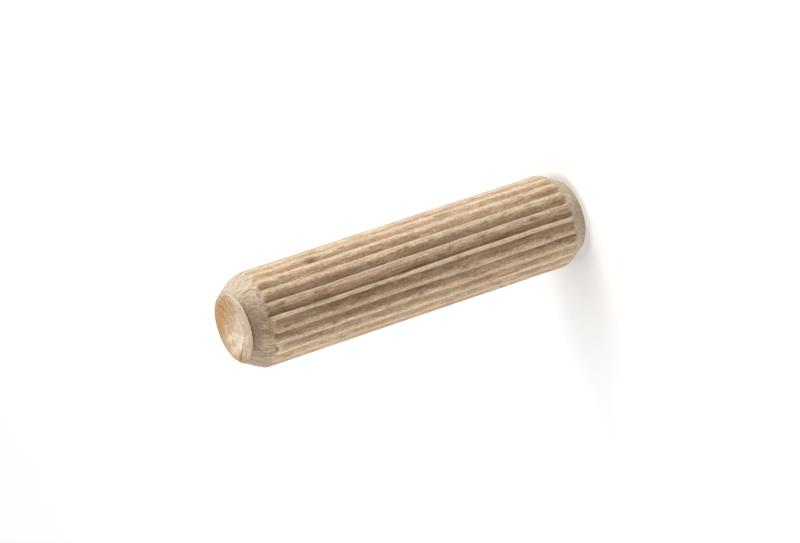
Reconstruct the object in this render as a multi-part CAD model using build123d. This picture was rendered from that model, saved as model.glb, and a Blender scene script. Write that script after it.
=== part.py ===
"""Fluted wooden dowel pin, 10 mm by 40 mm, standing on one end.

It is one turned piece of wood: a round bar with a long straight chamfer at each end,
shallow round-bottomed flutes pressed along its side, and end faces that the cutter has dished.
A joiner glues half of it into a 10 mm hole in each of two boards. The flutes let air and glue out.

Millimetres. The origin is the centre of the end that it stands on, and +Z runs up its axis.
The middle of a flute lies on +X.
"""

from build123d import *
import math
import os

# Driving dimensions
LENGTH = 40.0  # over both end rims
DIAMETER = 10.0  # over the crests, the size of the hole that it fits
CHAMFER_LENGTH = 2.0  # along the axis, from the rim to the shoulder
CHAMFER_DEPTH = 1.2  # how far the chamfer takes the radius in
SHOULDER_ROUND = 1.5  # radius where the chamfer meets the side
RIM_WIDTH = 0.25  # flat ring round each dished end, which it stands on
DISH_DEPTH = 0.55  # at the middle of each end
FLUTE_COUNT = 24
FLUTE_WIDTH = 0.76  # at the crests
FLUTE_DEPTH = 0.28
FLUTE_SETBACK = 0.05  # from the shoulder's corner to a flute's tip, which is still on its round

# Worked out from them
crest_radius = DIAMETER / 2
end_radius = crest_radius - CHAMFER_DEPTH
dish_radius = end_radius - RIM_WIDTH
flute_pitch = 360 / FLUTE_COUNT


def blank_profile():
    """Half of the lengthwise section, on the XZ plane: what is turned before it is fluted."""
    low_axis = (0, DISH_DEPTH)
    low_dish = (dish_radius, 0)
    low_rim = (end_radius, 0)
    low_shoulder = (crest_radius, CHAMFER_LENGTH)
    high_shoulder = (crest_radius, LENGTH - CHAMFER_LENGTH)
    high_rim = (end_radius, LENGTH)
    high_dish = (dish_radius, LENGTH)
    high_axis = (0, LENGTH - DISH_DEPTH)
    with BuildSketch(Plane.XZ) as profile:
        with BuildLine():
            dished_end(low_axis, low_dish)
            Polyline(low_dish, low_rim, low_shoulder, high_shoulder, high_rim, high_dish)
            dished_end(high_axis, high_dish)
            Line(high_axis, low_axis)
        make_face()
        shoulders = [v for v in profile.vertices() if abs(v.X - crest_radius) < 1e-6]
        fillet(shoulders, SHOULDER_ROUND)
    return profile.sketch


def dished_end(middle, edge):
    """The arc from the middle of a dished end, where it is square to the axis, to the edge of the dish."""
    return TangentArc(middle, edge, tangent=(1, 0))


def blank():
    """The turned bar, with its chamfers, rounded shoulders and dished ends."""
    return revolve(blank_profile(), Axis.Z)


def flute_cutter():
    """A round-ended bar that cuts one flute, on +X.

    Its radius is that of the arc through both edges of the flute and its floor.
    """
    bar_radius = (FLUTE_WIDTH**2 / 4 + FLUTE_DEPTH**2) / (2 * FLUTE_DEPTH)
    bar_centre = crest_radius - FLUTE_DEPTH + bar_radius
    tip_height = CHAMFER_LENGTH + FLUTE_SETBACK
    low_end = tip_height + FLUTE_WIDTH / 2
    high_end = LENGTH - low_end
    bar = Cylinder(bar_radius, high_end - low_end)
    bar = Pos(bar_centre, 0, (low_end + high_end) / 2) * bar
    for height in (low_end, high_end):
        bar += Pos(bar_centre, 0, height) * Sphere(bar_radius)
    return bar


def flutes():
    """Every flute's cutter, a pitch apart, the first one on +X."""
    cutter = flute_cutter()
    return [Rot(0, 0, place * flute_pitch) * cutter for place in range(FLUTE_COUNT)]


def dowel_pin():
    """The finished pin: the turned bar with its flutes pressed in."""
    return blank() - flutes()


def main():
    os.makedirs("parts", exist_ok=True)
    pin = dowel_pin()
    solid = pin.solids()[0]
    crest_width = math.radians(flute_pitch) * crest_radius - FLUTE_WIDTH
    print(f"volume {solid.volume:.1f} mm3, crests about {crest_width:.2f} mm wide")
    export_step(solid, "parts/dowel_pin.step")


main()
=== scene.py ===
# %% [markdown]
# # A fluted wooden dowel pin
# The real thing is one small stick of beech. It is turned to size, fluted between rollers that
# press straight channels into its side, then cut to length and chamfered so that it starts easily
# in its hole. Nothing is fixed to it, so nearly all of its character is in its surface: soft ribs,
# torn fibres, fuzzy end grain and long streaks of colour.
#
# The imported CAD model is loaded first, because the pin's length and radius are read from it.

# %% Load the frame
import math
import random

import bpy
import numpy as np
from mathutils import Matrix, Vector


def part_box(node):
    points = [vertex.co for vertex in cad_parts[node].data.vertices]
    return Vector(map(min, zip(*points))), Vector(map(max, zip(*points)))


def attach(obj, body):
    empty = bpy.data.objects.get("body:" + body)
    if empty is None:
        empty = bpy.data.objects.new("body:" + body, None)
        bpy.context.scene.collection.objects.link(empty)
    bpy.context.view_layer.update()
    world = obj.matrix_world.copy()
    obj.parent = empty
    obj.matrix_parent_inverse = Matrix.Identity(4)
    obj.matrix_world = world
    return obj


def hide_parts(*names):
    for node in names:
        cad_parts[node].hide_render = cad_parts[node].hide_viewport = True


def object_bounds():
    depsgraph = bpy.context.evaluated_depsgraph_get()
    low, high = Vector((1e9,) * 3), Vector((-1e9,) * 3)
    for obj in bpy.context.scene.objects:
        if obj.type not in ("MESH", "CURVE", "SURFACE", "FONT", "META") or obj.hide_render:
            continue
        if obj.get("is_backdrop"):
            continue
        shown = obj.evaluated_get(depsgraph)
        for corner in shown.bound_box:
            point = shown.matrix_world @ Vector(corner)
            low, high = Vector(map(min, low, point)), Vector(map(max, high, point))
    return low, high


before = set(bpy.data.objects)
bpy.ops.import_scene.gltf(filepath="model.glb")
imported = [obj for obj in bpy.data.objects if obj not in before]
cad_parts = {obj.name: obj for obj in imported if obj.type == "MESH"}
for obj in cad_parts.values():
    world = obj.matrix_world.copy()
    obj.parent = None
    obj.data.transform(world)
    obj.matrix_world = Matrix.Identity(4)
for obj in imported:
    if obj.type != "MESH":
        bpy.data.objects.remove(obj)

cad_low, cad_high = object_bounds()
pin_low, pin_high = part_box("dowel_pin")
length = pin_high[2] - pin_low[2]
crest_radius = (pin_high[0] - pin_low[0]) / 2
mm = 0.001
print(f"the pin is {length / mm:.1f} mm long and {2 * crest_radius / mm:.1f} mm over its crests")

# %% [markdown]
# ## The camera
# The pin stands on its end, and the camera looks at its side and slightly down on its top end.
# The camera could be held level, but then the pin would stand upright in the picture. It is rolled
# onto its side instead, so the pin lies across the picture with its top end at the left. A long lens
# from half a metre away keeps the two ends nearly the same size.

# %% Place the camera
pin_middle = Vector((0, 0, pin_low[2] + length / 2))
camera_height_angle = math.radians(27.18)
camera_roll = math.radians(-108.48)
camera_distance = 0.481
camera_lens_mm = 212.5
camera_side_step = math.radians(-2.2)
aim_right, aim_up = -0.25 * mm, -0.12 * mm

camera_data = bpy.data.cameras.new("long_lens")
camera_data.lens = camera_lens_mm
camera = bpy.data.objects.new("camera", camera_data)
bpy.context.scene.collection.objects.link(camera)
turn = Matrix.Rotation(camera_side_step, 4, "Z")
tilt = Matrix.Rotation(math.radians(90) - camera_height_angle, 4, "X")
roll = Matrix.Rotation(camera_roll, 4, "Z")
step_back = Matrix.Translation((aim_right, aim_up, camera_distance))
camera.matrix_world = Matrix.Translation(pin_middle) @ turn @ tilt @ roll @ step_back
bpy.context.scene.camera = camera
print("camera at", [round(v, 3) for v in camera.matrix_world.translation])

# %% [markdown]
# ## Lights
# Small bare wood looks best between big soft lamps, because a hard light would turn every fibre
# into glare. Light from the front would fill the flutes and flatten the ribs. So the two side lamps
# stand left and right of the pin and only a little in front of it. Their light skims over the ribs:
# each rib gets a bright lip and each flute a thin dark line. The third lamp hangs overhead, for the
# top end.

# %% Hang the soft lamps
def soft_lamp(name, place, width, power):
    """A square lamp that points at the middle of the pin."""
    data = bpy.data.lights.new(name, "AREA")
    data.size = width
    data.energy = power
    lamp = bpy.data.objects.new(name, data)
    lamp.location = place
    lamp.rotation_mode = "QUATERNION"
    lamp.rotation_quaternion = (pin_middle - Vector(place)).to_track_quat("-Z", "Y")
    bpy.context.scene.collection.objects.link(lamp)
    return lamp


lamps = [
    soft_lamp("key_lamp", place=(0.52, -0.14, 0.11), width=0.24, power=2.65),
    soft_lamp("overhead_lamp", place=(0.10, -0.02, 0.62), width=0.30, power=2.2),
    soft_lamp("fill_lamp", place=(-0.54, -0.05, 0.12), width=0.28, power=2.1),
]
print("hung", ", ".join(lamp.name for lamp in lamps))

# %% [markdown]
# ## The floor and the background
# The floor is plain and pale, and a touch of its own light, seen by the camera only, lifts it to
# white. It can't be all glow, or the pin would lose its shadow and seem to float.

# %% Helpers for materials
def nodes_of(owner):
    """An empty node tree on a material or a world."""
    owner.use_nodes = True
    tree = owner.node_tree
    tree.nodes.clear()
    return tree


def add_node(tree, kind, settings=None, **inputs):
    """Adds a node. Settings are the node's own choices. Inputs are values or other nodes' outputs,
    under the input's name, or as in0, in1 and so on by its place."""
    node = tree.nodes.new("ShaderNode" + kind)
    for name, value in (settings or {}).items():
        setattr(node, name, value)
    for name, value in inputs.items():
        key = int(name[2:]) if name.startswith("in") else name.replace("_", " ")
        if isinstance(value, bpy.types.NodeSocket):
            tree.links.new(value, node.inputs[key])
        else:
            node.inputs[key].default_value = value
    return node


def larger_of(tree, first, second):
    """The larger of two outputs."""
    return add_node(tree, "Math", {"operation": "MAXIMUM"}, in0=first, in1=second).outputs[0]


def seen_directly(tree):
    """1 where the camera, or a mirror or glass that the camera looks at, sees the surface."""
    path = add_node(tree, "LightPath").outputs
    either = larger_of(tree, path["Is Camera Ray"], path["Is Glossy Ray"])
    return larger_of(tree, either, path["Is Transmission Ray"])


print("ready for the floor")

# %% Make the floor and the room
floor_width = 8
floor_grey = (0.78, 0.78, 0.78, 1)
floor_glow = 0.29
white = (1, 1, 1, 1)
room_tint = (1.0, 0.96, 0.91, 1)
room_strength = 0.23

bpy.ops.object.select_all(action="DESELECT")
bpy.ops.mesh.primitive_plane_add(size=floor_width, location=(0, 0, 0))
floor = bpy.context.object
floor.name = "floor"
floor_paint = bpy.data.materials.new("pale_floor")
tree = nodes_of(floor_paint)
card = add_node(tree, "BsdfDiffuse", Color=floor_grey)
times = {"operation": "MULTIPLY"}
glow_strength = add_node(tree, "Math", times, in0=seen_directly(tree), in1=floor_glow)
glow = add_node(tree, "Emission", Color=white, Strength=glow_strength.outputs[0])
both = add_node(tree, "AddShader", in0=card.outputs[0], in1=glow.outputs[0])
add_node(tree, "OutputMaterial", Surface=both.outputs[0])
floor.data.materials.append(floor_paint)
floor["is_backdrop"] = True

room = bpy.data.worlds.new("room")
bpy.context.scene.world = room
tree = nodes_of(room)
room_light = add_node(tree, "Background", Color=room_tint, Strength=room_strength).outputs[0]
white_wall = add_node(tree, "Background", Color=white, Strength=1.0).outputs[0]
seen = add_node(tree, "MixShader", in0=seen_directly(tree), in1=room_light, in2=white_wall)
add_node(tree, "OutputWorld", Surface=seen.outputs[0])
bpy.context.scene.view_settings.view_transform = "Standard"
print("a floor", floor_width, "m wide, and a plain room")

# %% [markdown]
# ## Turning the blank
# On the lathe the blank is a plain round bar with a chamfer at each end. In Blender it could start
# as a cylinder that is cut with many loops, or as half a section that is spun round. Here it is
# drawn up from a circle, one ring at a time, because then each ring can be put exactly where the
# shape changes. The circle has sixteen points for every flute, so a flute always falls on whole
# columns of points.

# %% Sizes of the blank
flute_count = 24
columns_per_flute = 16
columns = flute_count * columns_per_flute
chamfer_depth = 1.2 * mm
chamfer_length = 2.0 * mm
rim_radius = crest_radius - chamfer_depth
foot_softness, top_softness = 0.14 * mm, 0.34 * mm
rim_rings = [0.05 * mm, 0.10 * mm, 0.16 * mm]
chamfer_gap, chamfer_rings = 0.12 * mm, 11
shoulder_start, shoulder_gap, shoulder_rings = 1.56 * mm, 0.095 * mm, 21


def turned_radius(height, softness):
    """The blank's radius at a height above its nearer end. Softness rounds the shoulder."""
    slope = rim_radius + (crest_radius - rim_radius) * height / chamfer_length
    near_shoulder = np.maximum(softness - abs(slope - crest_radius), 0) / softness
    return np.minimum(slope, crest_radius) - near_shoulder ** 2 * softness / 4


def end_heights():
    """Heights of the rings from a rim to the plain side: close at the rim and at the shoulder."""
    chamfer = [rim_rings[-1] + chamfer_gap * step for step in range(1, chamfer_rings + 1)]
    shoulder = [shoulder_start + shoulder_gap * step for step in range(shoulder_rings)]
    return rim_rings + chamfer + shoulder


print(columns, "columns,", len(end_heights()), "rings at each end")

# %% Helpers for picking and growing
def points_of(piece):
    """Every point's place, as rows of x, y, z."""
    flat = np.empty(len(piece.data.vertices) * 3, np.float32)
    piece.data.vertices.foreach_get("co", flat)
    return flat.reshape(-1, 3)


def pick(piece, kind, wanted):
    """Selects the wanted points or edges only, and stays in edit mode. Kind is VERT or EDGE, and
    wanted is one True or False for each."""
    parts = piece.data.vertices if kind == "VERT" else piece.data.edges
    bpy.ops.object.mode_set(mode="EDIT")
    bpy.ops.mesh.select_mode(type=kind)
    bpy.ops.mesh.select_all(action="DESELECT")
    bpy.ops.object.mode_set(mode="OBJECT")
    parts.foreach_set("select", np.asarray(wanted, bool))
    bpy.ops.object.mode_set(mode="EDIT")


def grow_ring(rise, ratio):
    """Extrudes the selected ring by a rise, and widens it by a ratio."""
    bpy.ops.mesh.extrude_region_move(TRANSFORM_OT_translate={"value": (0, 0, rise)})
    bpy.ops.transform.resize(value=(ratio, ratio, 1), center_override=(0, 0, 0))


print("ready to draw the blank")

# %% Draw the blank up from its bottom rim
span_count = 6
foot_rings = [(h, turned_radius(h, foot_softness)) for h in end_heights()]
top_rings = [(length - h, turned_radius(h, top_softness)) for h in reversed(end_heights())]
side_start, side_end = foot_rings[-1][0], top_rings[0][0]
side_rings = [
    (side_start + (side_end - side_start) * step / span_count, crest_radius)
    for step in range(1, span_count)
]

bpy.ops.object.select_all(action="DESELECT")
bpy.ops.mesh.primitive_circle_add(
    vertices=columns, radius=rim_radius, fill_type="NOTHING", location=(0, 0, 0)
)
pin = bpy.context.object
pin.name = "fluted_pin"
bpy.ops.object.mode_set(mode="EDIT")
bpy.ops.mesh.select_all(action="SELECT")
height, radius = 0.0, rim_radius
for next_height, next_radius in foot_rings + side_rings + top_rings + [(length, rim_radius)]:
    grow_ring(next_height - height, next_radius / radius)
    height, radius = next_height, next_radius
bpy.ops.object.mode_set(mode="OBJECT")
print("the blank's side has", len(pin.data.polygons), "faces")

# %% [markdown]
# ## Closing the ends
# The saw leaves each end slightly hollow inside a thin raised rim. The end could be capped with one
# face and inset, but extruding the rim inwards ring by ring gives the rings that the hollow needs.
# The last ring is merged into one point at the middle.

# %% Close both ends
rim_width = 0.25 * mm
hollow_radius = rim_radius - rim_width
hollow_depth = 0.55 * mm
end_ratios = [
    0.985, 0.965, 0.942, 0.915, 0.885, 0.85, 0.81, 0.77, 0.73, 0.69, 0.65,
    0.61, 0.57, 0.53, 0.48, 0.43, 0.37, 0.31, 0.24, 0.17, 0.09,
]


def hollow_at(radius_here):
    """How deep the hollow is at a distance from the axis."""
    share = min(radius_here / hollow_radius, 1)
    return hollow_depth * (1 - share ** 2)


def close_end(piece, rim_height, inwards):
    """Extrudes a rim to the middle. Inwards is +1 for the bottom end and -1 for the top end."""
    on_rim = np.isclose(points_of(piece)[:, 2], rim_height, atol=1e-6)
    pick(piece, "VERT", on_rim)
    radius, depth = rim_radius, 0.0
    for ratio in end_ratios:
        next_radius = rim_radius * ratio
        next_depth = hollow_at(next_radius)
        grow_ring(inwards * (next_depth - depth), next_radius / radius)
        radius, depth = next_radius, next_depth
    last_rise = inwards * (hollow_at(0) - depth)
    bpy.ops.mesh.extrude_region_move(TRANSFORM_OT_translate={"value": (0, 0, last_rise)})
    bpy.ops.mesh.merge(type="CENTER")
    bpy.ops.object.mode_set(mode="OBJECT")


close_end(pin, 0.0, 1)
close_end(pin, length, -1)
print("closed, with", len(pin.data.vertices), "points")

# %% [markdown]
# ## Pressing the flutes
# A ridged roller presses the flutes, so they have a rounded floor and soft walls, and the rib
# between two flutes is squeezed up a little along its edges. A boolean cut would leave knife-sharp
# edges. Here the columns of points at the same distance from the middle of a flute are scaled
# towards the axis together, as a row of loops would be by hand, for all the flutes at once.

# %% Press the flutes
full_circle = 2 * math.pi
flute_depth = 0.36 * mm
flute_shape = [1.0, 0.98, 0.91, 0.76, 0.50, 0.19, 0.02, 0.0, 0.03]  # from mid-flute to mid-rib
tip = 1.7 * mm  # how near a flute can come to an end


def from_flute(angle):
    """How far round each point lies from the middle of its nearest flute, as a share of a pitch."""
    turns = angle / full_circle * flute_count
    return turns - np.rint(turns)


places = points_of(pin)
angle = np.arctan2(places[:, 0], -places[:, 1])
column = np.rint(np.abs(from_flute(angle)) * columns_per_flute)
between_tips = (places[:, 2] > tip) & (places[:, 2] < length - tip)
for number, share in enumerate(flute_shape):
    pick(pin, "VERT", between_tips & (column == number))
    ratio = 1 - flute_depth * share / crest_radius
    bpy.ops.transform.resize(value=(ratio, ratio, 1), center_override=(0, 0, 0))
bpy.ops.object.mode_set(mode="OBJECT")
print("pressed", flute_count, "flutes", flute_depth / mm, "mm deep")

# %% Give the side its rings
rings_per_span = 18
edge_ends = np.empty(len(pin.data.edges) * 2, np.int32)
pin.data.edges.foreach_get("vertices", edge_ends)
ends = points_of(pin)[edge_ends.reshape(-1, 2)]
long_edges = np.abs(ends[:, 0, 2] - ends[:, 1, 2]) > 1 * mm
pick(pin, "EDGE", long_edges)
bpy.ops.mesh.subdivide(number_cuts=rings_per_span)
bpy.ops.mesh.select_all(action="SELECT")
bpy.ops.mesh.normals_make_consistent(inside=False)
bpy.ops.object.mode_set(mode="OBJECT")
triangles = sum(len(face.vertices) - 2 for face in pin.data.polygons)
print("now", len(pin.data.vertices), "points and", triangles, "triangles")

# %% [markdown]
# ## Springing back and tearing
# Wood is not metal: after the roller has passed, the ribs spring back unevenly, sway along the
# grain, and lose splinters from their edges. A Displace modifier gives even lumps all over, so it
# can't tear only the edges of the ribs. The points are moved by code instead, as a sculpting brush
# would move them. The lumps come from seeded random grids, so each run gives the same stick.

# %% Helpers for soft shapes
def lumps(seed, first, second, wrap=0):
    """Soft random lumps from -1 to 1, one for each unit of first and second. Where first goes round
    a circle, wrap is its length in units."""
    wide = wrap or int(np.ceil(first.max() - first.min())) + 3
    tall = int(np.ceil(second.max() - second.min())) + 3
    grid = np.random.default_rng(seed).uniform(-1, 1, (tall, wide))
    a = first if wrap else first - first.min()
    b = second - second.min()
    a0, b0 = np.floor(a).astype(int), np.floor(b).astype(int)
    ta, tb = a - a0, b - b0
    ta, tb = ta * ta * (3 - 2 * ta), tb * tb * (3 - 2 * tb)
    left, right = a0 % wide, (a0 + 1) % wide
    low = grid[b0, left] * (1 - ta) + grid[b0, right] * ta
    high = grid[b0 + 1, left] * (1 - ta) + grid[b0 + 1, right] * ta
    return low * (1 - tb) + high * tb


def smooth_step(values, low, high):
    """0 below low, 1 above high, and a soft slope between."""
    share = np.clip((values - low) / (high - low), 0, 1)
    return share * share * (3 - 2 * share)


def bump_at(distance, width):
    """1 where distance is 0, and softly down to nothing over about two widths."""
    return np.exp(-(distance / width) ** 2)


print("ready to shape")

# %% Measure every point of the pin
places = points_of(pin).astype(float)
radius = np.hypot(places[:, 0], places[:, 1])
angle = np.arctan2(places[:, 0], -places[:, 1])
height = places[:, 2].copy()
from_top, from_foot = length - height, height
from_end = np.minimum(from_top, from_foot)
nearer_top = from_top < from_foot
turned = turned_radius(from_end, np.where(nearer_top, top_softness, foot_softness))
on_cap = radius < rim_radius - 1e-6
on_side = ~on_cap
on_top, on_foot = on_cap & nearer_top, on_cap & ~nearer_top
sunk = np.where(on_side & (from_end > tip), turned - radius, 0)
offset = from_flute(angle)
number = np.rint(angle / full_circle * flute_count).astype(int) % flute_count
print(on_cap.sum(), "points on the ends and", on_side.sum(), "on the side")

# %% Helpers for places on the side
def side_lumps(seed, across, along):
    """Lumps on the pin's side, so many millimetres across and along."""
    count = max(3, round(full_circle * crest_radius / mm / across))
    return lumps(seed, angle / full_circle * count % count, height / mm / along, count)


def past(middle_degrees):
    """How far round each point lies from an angle, the short way, in radians."""
    return (angle - math.radians(middle_degrees) + math.pi) % full_circle - math.pi


def around(middle_degrees, half_width_degrees, power=2):
    """1 at an angle, and down to nothing on both sides of it. A higher power has a flatter top."""
    return np.exp(-(past(middle_degrees) / math.radians(half_width_degrees)) ** power)


def spot(middle_degrees, depth_from_top, across, along):
    """1 at a place on the side, and softly down to nothing over its size in millimetres."""
    sideways = past(middle_degrees) * crest_radius / mm / across
    lengthways = (from_top / mm - depth_from_top) / along
    return np.exp(-(sideways ** 2 + lengthways ** 2)) * on_side


print("ready to place things on the side")

# %% Give each flute its own place, depth and ends
# Flute 0 is at the front, and the count goes round from there. A turn is in degrees, and a lean
# moves the deepest line of a flute towards one of its edges. The first six flutes and the last five
# lie on the front half, where each turn and lean is chosen. The thirteen between them are left to
# chance. The flutes at the front and the back are the deepest.
chance = random.Random(11)
chance_count = 13
lean_reach = 0.22  # of a pitch
foot_run = 0.16 * mm
own_turn = (
    [2.4, 3.6, 6.0, 6.2, 5.0, 4.0]
    + [3 - 0.5 * step + chance.uniform(-1, 1) for step in range(chance_count)]
    + [-3.2, -3.6, -3.7, -3.6, -2.4]
)
own_lean = (
    [1.0, 1.0, 1.0, 0.9, 0.8, 0.5]
    + [chance.uniform(-0.8, 0.8) for _ in range(chance_count)]
    + [-0.7, -0.8, -0.9, -0.9, -0.5]
)


def for_each_flute(low, high):
    """One random number for each flute."""
    return np.array([chance.uniform(low, high) for _ in range(flute_count)])


flute_angles = np.arange(flute_count) * 2 * math.pi / flute_count
own_depth = for_each_flute(0.92, 1.12) * (0.33 + 0.74 * np.cos(flute_angles) ** 2)
top_tip = for_each_flute(0.0, 0.35) * mm + tip
top_run = for_each_flute(0.25, 0.8) * mm
foot_tip = for_each_flute(0.02, 0.20) * mm + tip

turn_here = np.interp(angle % full_circle, flute_angles, np.radians(own_turn), period=full_circle)
side_only = smooth_step(from_end, 2 * mm, 5 * mm)
sway = np.radians(0.7) * side_lumps(21, 2.6, 11.0) + np.radians(0.25) * side_lumps(22, 1.3, 3.5)
lean = np.array(own_lean)[number]
lean_here = lean_reach * lean * (1 - 4 * offset ** 2) * 2 * math.pi / flute_count
lean_here = lean_here * smooth_step(from_end, 1.2 * mm, 1.9 * mm)
new_angle = angle + turn_here + sway * side_only - lean_here

ragged = 0.18 * mm * side_lumps(23, 0.35, 50.0)
top_start, foot_start = top_tip[number], foot_tip[number]
top_share = smooth_step(from_top + ragged, top_start, top_start + top_run[number])
foot_share = smooth_step(from_foot + 0.25 * ragged, foot_start, foot_start + foot_run)
depth_here = own_depth[number] * (1 + 0.16 * side_lumps(24, 1.4, 3.0))
flute_share = np.where(nearer_top, top_share, foot_share)
mid_depths = own_depth * flute_depth / mm
print("mid-flute depths", round(mid_depths.min(), 2), "to", round(mid_depths.max(), 2), "mm")

# %% Tear the edges of the ribs and raise the fibres
bite_depth, tuft_depth, fibre_height = 0.085 * mm, 0.035 * mm, 0.010 * mm
highest_fibre = 1.6  # the fibres' two layers of lumps reach 1 and 0.6

near_lip = bump_at(np.abs(offset) - 0.33, 0.075) * flute_share
in_groove = smooth_step(0.36 - np.abs(offset), 0, 0.12) * flute_share
bites = smooth_step(side_lumps(31, 0.33, 1.3) + 0.4 * side_lumps(32, 0.2, 0.5), 0.42, 0.95)
fibres = side_lumps(33, 0.17, 3.5) + 0.6 * side_lumps(34, 0.17, 1.1)
tufts = smooth_step(side_lumps(35, 0.5, 1.6), 0.1, 0.8)
slanted_floor = np.clip(1 - 1.1 * lean * offset / 0.4, 0.1, 1.7)
new_radius = turned - sunk * flute_share * depth_here * slanted_floor
new_radius -= bite_depth * bites * near_lip
new_radius -= tuft_depth * in_groove * tufts
new_radius += fibre_height * (fibres - highest_fibre) * side_only
print("torn_and_shaded", int((bites * near_lip > 0.5).sum()), "points")

# %% Roughen the top chamfer
# The cutter tore the fibres at this end, while the foot's chamfer came out clean. The torn fibres
# cross each other. Shade is painted on the chamfer under one part of the rim. Depths are in
# millimetres.
stroke_depth, cross_stroke_depth, hump_depth, sanded_off = 0.055, 0.045, 0.05, 0.09
foot_ripple = 0.012
crevice_depth = 0.10
stroke_count = 132
cross_slant = 2.8

top_chamfer = (1 - smooth_step(from_top + ragged, 1.75 * mm, 2.5 * mm)) * on_side
foot_chamfer = (1 - smooth_step(from_foot, 1.9 * mm, 2.3 * mm)) * on_side
slant = 2.2 + 1.3 * np.sin(3 * angle + 1) + 0.9 * np.sin(7 * angle)
stroke_place = angle / full_circle * stroke_count
height_mm = height / mm
one_way = (stroke_place + height_mm * slant) % stroke_count
other_way = (stroke_place - height_mm * cross_slant) % stroke_count
strokes = lumps(41, one_way, height_mm, stroke_count)
cross_strokes = lumps(42, other_way, height_mm / 0.8, stroke_count)
dark_hair = np.maximum(
    smooth_step(strokes, 0.25, 0.7), 0.9 * smooth_step(cross_strokes, 0.4, 0.8)
)
pale_hair = np.maximum(
    smooth_step(-strokes, 0.35, 0.8), 0.9 * smooth_step(-cross_strokes, 0.4, 0.8)
)
roughness = stroke_depth * strokes + cross_stroke_depth * cross_strokes
roughness = roughness + hump_depth * side_lumps(43, 1.3, 0.9) - sanded_off
new_radius += top_chamfer * mm * roughness
new_radius += foot_chamfer * mm * (foot_ripple * side_lumps(44, 0.8, 0.5) - foot_ripple)

rim_crevice = bump_at(from_top - 0.14 * mm, 0.09 * mm) * on_side * around(-14, 38, power=4)
# Painted shade on the chamfer just under one part of the rim.
shade_under_rim = around(-16, 40) * (1 - smooth_step(from_top, 0.2 * mm, 1.5 * mm)) * on_side
new_radius -= crevice_depth * mm * rim_crevice
print("strokes up to", stroke_depth + cross_stroke_depth, "mm above and below the top chamfer")

# %% Add the pits and the crack
torn_pit_depth, small_pit_depth, ring_height, crack_depth = 0.10, 0.16, 0.03, 0.05
crack_degrees, crack_height, crack_climb = 29, 0.35, 0.096

torn_pit = 1.5 * spot(47.0, 9.1, 0.26, 0.6) + 1.3 * spot(43.5, 10.9, 0.15, 1.3)
small_pit = spot(-47.5, 2.25, 0.14, 0.15)
pit_ring = np.clip(spot(-47.5, 2.35, 0.33, 0.42) - 1.6 * small_pit, 0, 1)
past_crack = np.degrees(past(crack_degrees))
off_crack = from_foot / mm - crack_height - crack_climb * past_crack
chamfer_crack = bump_at(off_crack, 0.08) * bump_at(past_crack, 5) * on_side
chamfer_crack = chamfer_crack * (from_foot < chamfer_length)
pits = torn_pit_depth * torn_pit + small_pit_depth * small_pit - ring_height * pit_ring
new_radius -= mm * (pits + crack_depth * chamfer_crack)
print("a torn pit, a small pit with a raised ring, and a crack in the foot's chamfer")

# %% Put the top rim off centre
# The cutter ran a little to one side at the top, so the rim isn't quite round.
wide_side, narrow_side = 0.03 * around(180, 60), 0.075 * around(78, 42)
rim_share = 1 + (wide_side - narrow_side) * (1 - smooth_step(from_top, 0, 1.7 * mm))
new_radius *= rim_share
places[on_side, 0] = (np.sin(new_angle) * new_radius)[on_side]
places[on_side, 1] = (-np.cos(new_angle) * new_radius)[on_side]
print("a rim from", round(rim_share.min(), 3), "to", round(rim_share.max(), 3), "of its radius")

# %% [markdown]
# ## Working over the top end
# The top end was cut across the fibres with a worn saw: part of its rim stands up, part is worn
# away, one flap of fibres has lifted along a crease, and a few short tears run in from the edge. The
# end is worked in the plane of the face, in millimetres, with across and up as seen by someone who
# looks down on it from above.

# %% Crease and hollow the top end
crease_depth, flap_height, tear_depth, wear_depth = 0.13, 0.05, 0.09, 0.09
top_ripple, foot_end_ripple = 0.022, 0.02
tear_lines = (  # where each starts, where it ends, and its width
    ((0.1, 3.4), (0.5, 1.7), 0.10),
    ((0.9, 3.2), (0.8, 1.7), 0.09),
    ((1.6, 2.8), (1.35, 1.5), 0.09),
    ((-0.6, 3.3), (-0.2, 1.9), 0.09),
    ((-1.7, 2.9), (-1.1, 1.5), 0.09),
    ((2.2, 2.3), (1.9, 1.3), 0.07),
    ((-2.4, 2.2), (-1.9, 0.9), 0.08),
)
across, up = -places[:, 1] / mm, places[:, 0] / mm


def along_line(start, end):
    """Each point's distance to the right of a line on the end, and its share of the way along."""
    line = np.array(end) - np.array(start)
    reach = np.hypot(*line)
    away = np.stack([across - start[0], up - start[1]], 1)
    share = away @ line / reach ** 2
    right = (away[:, 0] * line[1] - away[:, 1] * line[0]) / reach
    return right, share


crease_right, crease_share = along_line((1.0, -0.9), (-0.95, -3.4))
started, ended = smooth_step(crease_share, -0.05, 0.15), smooth_step(crease_share, 0.95, 1.05)
beside_crease = started * (1 - ended)
crease_right = crease_right + 0.16 * lumps(53, across / 0.7, up / 0.7)
crease = bump_at(crease_right, 0.13) * beside_crease
lifted = bump_at(crease_right - 0.42, 0.34) * (crease_right > 0) * beside_crease
tears = np.zeros(len(places))
for start, end, width in tear_lines:
    right, share = along_line(start, end)
    tears = np.maximum(tears, bump_at(right, width) * bump_at(share - 0.55, 0.5))
worn_rim = smooth_step(radius, hollow_radius * 0.9, rim_radius)
worn_rim = worn_rim * smooth_step(-up - 0.35 * across, -0.4, 2.6)
end_lumps = lumps(51, across / 0.9, up / 0.9) + 0.5 * lumps(52, across / 0.35, up / 0.35)
inside_rim = smooth_step(rim_radius - radius, 0, 0.4 * mm)
drop = crease_depth * crease - flap_height * lifted + tear_depth * tears + wear_depth * worn_rim
drop = drop + top_ripple * (end_lumps + 1.2) * inside_rim
places[on_top, 2] -= (mm * np.clip(drop, 0, None))[on_top]
places[on_foot, 2] += (mm * foot_end_ripple * (end_lumps + 1.5) * inside_rim)[on_foot]
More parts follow.
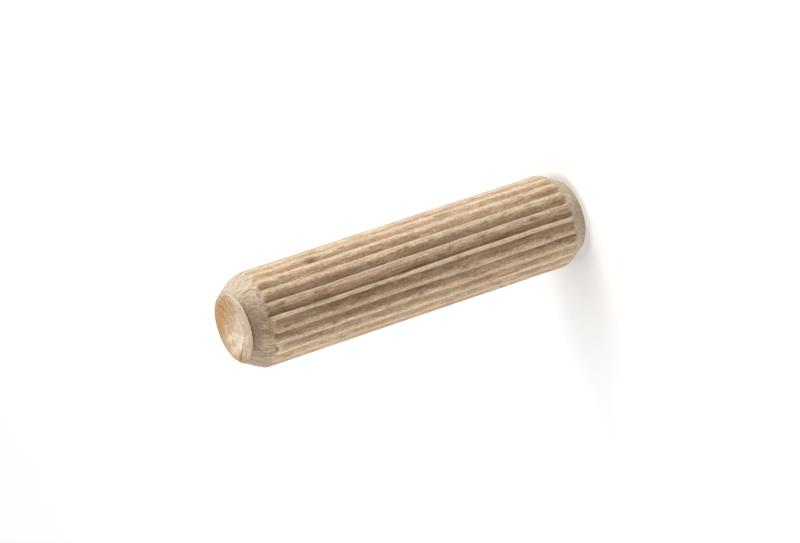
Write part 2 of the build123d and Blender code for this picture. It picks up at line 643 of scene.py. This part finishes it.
places[on_cap, 0] = (np.sin(angle + turn_here) * radius * rim_share)[on_cap]
places[on_cap, 1] = (-np.cos(angle + turn_here) * radius * rim_share)[on_cap]
pin.data.vertices.foreach_set("co", places.astype(np.float32).ravel())
pin.data.update()
print("a crease", crease_depth, "mm deep, and", len(tear_lines), "tears")

# %% [markdown]
# ## What the material needs to know
# The wood looks different in a flute, on a chamfer and on an end. The material could work that out
# from each point's place, but it is simpler to write it on the mesh, as named numbers per point that
# an Attribute node reads. They also follow every sway and tear exactly.

# %% Write the marks on the mesh
def patches(*ovals):
    """Soft ovals on the top end, each given by its middle, width, height and strength."""
    total = np.zeros(len(places))
    for middle_across, middle_up, wide, tall, strength in ovals:
        away = ((across - middle_across) / wide) ** 2 + ((up - middle_up) / tall) ** 2
        total += strength * np.exp(-away)
    return np.clip(total, 0, 1) * on_top


lean_side = offset * np.sign(lean)
# How strong the painted shade line in each flute is: stronger where the flute is deep and leans.
shade_line_weight = np.clip(own_depth[number], 0.2, 1) * (0.6 + 0.4 * np.abs(lean))
on_rim_edge = smooth_step(radius, hollow_radius - 0.02 * mm, hollow_radius + 0.08 * mm)
# Warm brown patches on the top end: partly the end grain's own colour, partly painted shade on the
# upper wall of the hollow.
warm_and_shade_patches = patches(
    (-1.5, 2.5, 0.9, 0.6, 0.9),
    (-2.2, 1.5, 0.9, 0.8, 0.7),
    (0.1, 3.1, 1.0, 0.35, 0.8),
    (-3.2, 0.8, 0.7, 2.6, 0.9),
    (-0.4, 1.5, 1.5, 0.8, 0.45),
    (3.1, -0.8, 0.9, 2.0, 1.0),
    (2.6, -2.7, 1.1, 0.8, 0.8),
    (-0.3, -3.3, 1.4, 0.6, 0.9),
)
# Pale patches on the top end: partly the end grain's own colour, partly painted light on the lower
# part of the hollow.
pale_and_lit_patches = patches(
    (-1.5, -0.9, 1.6, 0.4, 0.7),
    (-1.2, -2.0, 1.0, 0.5, 0.6),
    (0.3, -1.4, 0.6, 0.4, 1.0),
    (-0.25, -2.3, 0.5, 0.8, 0.9),
    (2.4, 2.2, 1.0, 0.9, 0.9),
    (0.2, 0.2, 1.2, 0.6, 0.35),
)
# Dark patches on the top end: a dark spot near the rim, and painted shade along the left edge of the
# rim.
dark_and_shade_patches = patches(
    (-0.75, -3.3, 0.8, 0.35, 0.7),
    (0.4, -2.6, 0.9, 0.5, 0.30),
    (-3.7, 0.0, 0.5, 3.4, 0.35),
    (3.4, -2.4, 0.6, 1.0, 0.25),
)
marks = {
    # groove: browner flutes, partly the pressed wood's own colour and partly painted shade
    "groove": in_groove * (1 - 0.4 * bump_at(offset, 0.05)),
    # Painted shade: a dark line along the deepest, steep side of each flute.
    "flute_shade_line": bump_at(lean_side + 0.23, 0.085) * flute_share * shade_line_weight,
    # Painted highlight along the steep edge of each rib.
    "rib_highlight": bump_at(lean_side + 0.42, 0.06) * flute_share * (1 - bites) * np.abs(lean),
    # Painted light: the gentle slope of each flute is lighter than its steep side.
    "lit_flute_slope": smooth_step(lean_side, -0.20, 0.30) * in_groove,
    # Painted highlight along one part of the top rim's inner edge.
    "rim_highlight": on_top * on_rim_edge * around(35, 62, power=4),
    # Painted shade on the top chamfer under one part of the rim.
    "shade_under_rim": shade_under_rim,
    # Darker at torn rib edges, pits and the crack: partly torn wood, partly painted shade in these
    # hollows.
    "torn_and_shaded": bites * near_lip * 1.2 + torn_pit + small_pit + chamfer_crack,
    "pale_ring": pit_ring,
    "rough_chamfer": top_chamfer,
    "dark_hair": dark_hair,
    "pale_hair": pale_hair,
    "clean_chamfer": foot_chamfer,
    # Painted shade in the crevice under the top rim.
    "crevice_shade": rim_crevice,
    "end_face": on_cap * 1.0,
    # Warm patches on the top end, partly painted shade.
    "end_warm_and_shade": warm_and_shade_patches,
    # Pale patches on the top end, partly painted light.
    "end_pale_and_lit": pale_and_lit_patches,
    # Painted shade in the crease and tears of the top end, with the dark patches.
    "end_dark_and_shade": (0.75 * crease + tears) * on_top + dark_and_shade_patches,
}
for name, values in marks.items():
    numbers = pin.data.attributes.new(name, "FLOAT", "POINT")
    numbers.data.foreach_set("value", np.clip(values, 0, 1).astype(np.float32))
print("wrote", len(marks), "marks:", ", ".join(marks))

# %% [markdown]
# ## The wood
# Beech is pale tan when it is fresh, with long fine streaks that run pinkish or grey, and short dark
# flecks where its rays are cut. A picture of wood would be quick, but it would be soft this close
# up. The streaks are made from noise instead, on the object's own coordinates, measured in
# millimetres and squeezed along the pin so that every lump becomes a long fibre.

# %% Helpers for mixing
wood = bpy.data.materials.new("beech_wood")
tree = nodes_of(wood)


def math_node(operation, first, second):
    """One sum on two numbers."""
    return add_node(tree, "Math", {"operation": operation}, in0=first, in1=second).outputs[0]


def squeezed(along, shift=0.0):
    """Object coordinates in millimetres, scaled along the pin. A shift starts another pattern."""
    place = add_node(tree, "TexCoord").outputs["Object"]
    scale = (1 / mm, 1 / mm, along / mm)
    moved = (shift, shift * 0.7, shift * 1.3)
    return add_node(tree, "Mapping", Vector=place, Scale=scale, Location=moved).outputs[0]


def noise(place, size, detail, roughness, distortion=0.0):
    """Soft noise from 0 to 1."""
    node = add_node(
        tree, "TexNoise",
        Vector=place, Scale=size, Detail=detail, Roughness=roughness, Distortion=distortion,
    )
    return node.outputs["Fac"]


def stretch_range(value, low, high, new_low=0.0, new_high=1.0):
    """Spreads the part of a value between low and high over a new range, with soft ends."""
    node = add_node(
        tree, "MapRange", {"interpolation_type": "SMOOTHSTEP"},
        Value=value, From_Min=low, From_Max=high, To_Min=new_low, To_Max=new_high,
    )
    return node.outputs[0]


def blend_colour(share, first, second, how="MIX"):
    """Mixes two colours."""
    node = add_node(tree, "Mix", {"data_type": "RGBA", "blend_type": how})
    sockets = (node.inputs[0], node.inputs[6], node.inputs[7])  # the share and the two colours
    for socket, value in zip(sockets, (share, first, second)):
        if isinstance(value, bpy.types.NodeSocket):
            tree.links.new(value, socket)
        else:
            socket.default_value = value if isinstance(value, float) else (*value, 1)
    return node.outputs[2]


def shade(first, second):
    """Multiplies one colour by another."""
    return blend_colour(1.0, first, second, "MULTIPLY")


def mark(name, strength=None):
    """A number that was written on the mesh, times a strength if one is given."""
    value = add_node(tree, "Attribute", {"attribute_name": name}).outputs["Fac"]
    return value if strength is None else math_node("MULTIPLY", value, strength)


print("ready to mix")

# %% Colours of the side
pale_tan = (0.71, 0.57, 0.40)
pink_tan = (0.67, 0.50, 0.355)
grey_tan = (0.57, 0.465, 0.32)

broad = noise(squeezed(0.12), size=1.0, detail=3, roughness=0.55)
streak = noise(squeezed(0.09, shift=4.2), size=3.0, detail=3, roughness=0.6)
fine = noise(squeezed(0.10, shift=9.1), size=6.0, detail=3, roughness=0.65)
speckle = noise(squeezed(0.7, shift=5.4), size=4.5, detail=2, roughness=0.6)
side_colour = blend_colour(stretch_range(broad, 0.42, 0.60), pale_tan, pink_tan)
side_colour = blend_colour(stretch_range(streak, 0.45, 0.66, 0.0, 0.9), side_colour, grey_tan)
fine_range = stretch_range(fine, 0.32, 0.66)
side_colour = shade(side_colour, blend_colour(fine_range, (0.76, 0.72, 0.68), (1.10, 1.10, 1.10)))
speckle_range = stretch_range(speckle, 0.34, 0.64)
speckle_shade = blend_colour(speckle_range, (0.82, 0.80, 0.77), (1.06, 1.06, 1.06))
side_colour = shade(side_colour, speckle_shade)
print("side colours", pale_tan, pink_tan, grey_tan)

# %% Colours of the flutes, tears and flecks
groove_tan, groove_brown, lit_slope_cream = (0.78, 0.69, 0.58), (0.60, 0.42, 0.26), (1.0, 0.96, 0.90)
shade_line_brown = (0.32, 0.225, 0.14)
rib_highlight_cream = (0.82, 0.70, 0.54)
fleck_brown = (0.40, 0.23, 0.10)
torn_shade_brown = (0.23, 0.135, 0.04)
ring_cream = (0.74, 0.64, 0.50)

# The flutes are painted browner: partly the pressed wood's own colour, partly painted shade in the
# hollows.
patch = noise(squeezed(0.28, shift=2.3), size=1.1, detail=3, roughness=0.6)
groove_shade = blend_colour(stretch_range(patch, 0.48, 0.57), groove_tan, groove_brown)
# Painted light: the gentle slope of each flute is made lighter than its steep side.
groove_shade = blend_colour(mark("lit_flute_slope", 0.6), groove_shade, lit_slope_cream)
colour = blend_colour(mark("groove"), side_colour, shade(side_colour, groove_shade))
# Painted shade: a dark line along the deepest, steep side of each flute, patchy along its length.
shade_line_noise = noise(squeezed(0.2, shift=8.3), size=1.6, detail=2, roughness=0.5)
shade_line_strength = stretch_range(shade_line_noise, 0.35, 0.6, 0.65, 0.95)
shade_line_here = math_node("MULTIPLY", mark("flute_shade_line"), shade_line_strength)
colour = blend_colour(shade_line_here, colour, shade(colour, shade_line_brown))
# Painted highlight along the steep edge of each rib.
colour = blend_colour(mark("rib_highlight", 0.55), colour, rib_highlight_cream)
fleck_noise = noise(squeezed(0.25, shift=6.6), size=3.6, detail=2, roughness=0.6)
flecks = stretch_range(fleck_noise, 0.61, 0.70)
colour = blend_colour(math_node("MULTIPLY", flecks, 0.55), colour, fleck_brown)
# Darker at torn rib edges, pits and the crack: partly torn wood, partly painted shade in these
# hollows.
colour = blend_colour(mark("torn_and_shaded", 0.9), colour, torn_shade_brown)
colour = blend_colour(mark("pale_ring"), colour, ring_cream)
print("flute colours", groove_tan, groove_brown, shade_line_brown)

# %% Colours of the two chamfers
# The rough one is painted darker away from the key lamp and lighter towards it, as painted shade
# and light, and its fibres lie criss-cross.
shaded_rough_dark, shaded_rough_light = (0.20, 0.128, 0.07), (0.42, 0.30, 0.19)
lit_rough_dark, lit_rough_light = (0.43, 0.33, 0.23), (0.62, 0.51, 0.385)
hair_brown, hair_cream = (0.19, 0.12, 0.07), (0.68, 0.56, 0.42)
rim_shade_brown, crevice_shade_brown = (0.19, 0.125, 0.085), (0.20, 0.12, 0.07)
foot_shade = (0.80, 0.78, 0.75)

criss = noise(squeezed(0.8, shift=3.3), size=2.6, detail=4, roughness=0.7, distortion=1.6)
cross = noise(squeezed(1.4, shift=8.8), size=3.4, detail=3, roughness=0.65, distortion=0.8)
fuzz = math_node("ADD", math_node("MULTIPLY", criss, 0.6), math_node("MULTIPLY", cross, 0.4))
# Painted shade and light: a darker copy of the chamfer's colours at -X and a lighter copy at +X,
# towards the key lamp.
shaded_rough = blend_colour(stretch_range(fuzz, 0.40, 0.60), shaded_rough_dark, shaded_rough_light)
lit_rough = blend_colour(stretch_range(fuzz, 0.36, 0.58), lit_rough_dark, lit_rough_light)
x_place = add_node(tree, "SeparateXYZ", Vector=squeezed(1.0)).outputs[0]
fuzzy = blend_colour(stretch_range(x_place, -0.6, 4.4), shaded_rough, lit_rough)
fuzzy = blend_colour(mark("dark_hair", 0.64), fuzzy, hair_brown)
fuzzy = blend_colour(mark("pale_hair", 0.52), fuzzy, hair_cream)
# Painted shade on the chamfer just under one part of the rim.
fuzzy = blend_colour(mark("shade_under_rim", 0.8), fuzzy, rim_shade_brown)
colour = blend_colour(mark("rough_chamfer", 0.92), colour, fuzzy)
colour = blend_colour(mark("clean_chamfer"), colour, shade(side_colour, foot_shade))
# Painted shade in the crevice under the top rim.
colour = blend_colour(mark("crevice_shade", 0.85), colour, crevice_shade_brown)
print("chamfer colours", shaded_rough_dark, shaded_rough_light, lit_rough_dark, lit_rough_light)

# %% Colours of the ends
end_brown, end_tan = (0.53, 0.355, 0.20), (0.74, 0.565, 0.39)
warm_shade_brown, pale_lit_cream = (0.53, 0.285, 0.105), (0.88, 0.78, 0.64)
end_shade_brown, rim_highlight_cream = (0.25, 0.15, 0.06), (0.82, 0.72, 0.58)

end_grain = noise(squeezed(1.0, shift=7.7), size=1.2, detail=4, roughness=0.65, distortion=0.6)
pores = noise(squeezed(1.0, shift=1.7), size=5.0, detail=2, roughness=0.5)
end_colour = blend_colour(stretch_range(end_grain, 0.40, 0.60), end_brown, end_tan)
# Warm patches on the top end: partly the end grain's colour, partly painted shade.
end_colour = blend_colour(mark("end_warm_and_shade"), end_colour, warm_shade_brown)
# Pale patches on the top end: partly the end grain's colour, partly painted light.
end_colour = blend_colour(mark("end_pale_and_lit"), end_colour, pale_lit_cream)
pore_range = stretch_range(pores, 0.36, 0.60)
end_colour = shade(end_colour, blend_colour(pore_range, (0.82, 0.78, 0.72), (1.05, 1.05, 1.05)))
# Painted shade in the crease and tears of the top end, and the dark patches.
end_colour = blend_colour(mark("end_dark_and_shade", 0.8), end_colour, end_shade_brown)
# Painted highlight along one part of the top rim's inner edge.
end_colour = blend_colour(mark("rim_highlight", 0.8), end_colour, rim_highlight_cream)
colour = blend_colour(mark("end_face"), colour, end_colour)
print("end colours", end_brown, end_tan, warm_shade_brown, pale_lit_cream)

# %% Surface of the wood
grain_relief = 0.05 * mm
grain = math_node("ADD", math_node("MULTIPLY", fine, 0.6), math_node("MULTIPLY", speckle, 0.4))
bump = add_node(tree, "Bump", Height=grain, Strength=0.5, Distance=grain_relief)
surface = add_node(
    tree, "BsdfPrincipled", Base_Color=colour, Normal=bump.outputs[0],
    Roughness=0.75, Specular_IOR_Level=0.25, Sheen_Weight=0.45, Sheen_Roughness=0.5,
)
add_node(tree, "OutputMaterial", Surface=surface.outputs[0])
pin.data.materials.clear()
pin.data.materials.append(wood)
print("wood mixed from", len(tree.nodes), "nodes")

# %% Smooth it and put it in the frame
bpy.ops.object.select_all(action="DESELECT")
pin.select_set(True)
bpy.context.view_layer.objects.active = pin
bpy.ops.object.shade_smooth()
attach(pin, "root")
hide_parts("dowel_pin")
print(pin.name, "rides the root and replaces the plain pin")

# %% [markdown]
# ## The finished size
# The box that the finished pin fills is compared with the CAD model's box, to be sure that nothing
# grew.

# %% Compare the two boxes and finish
visual_low, visual_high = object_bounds()
pairs = zip((*visual_low, *visual_high), (*cad_low, *cad_high))
print("grew by", [round((visual - cad) / mm, 3) for visual, cad in pairs], "mm")
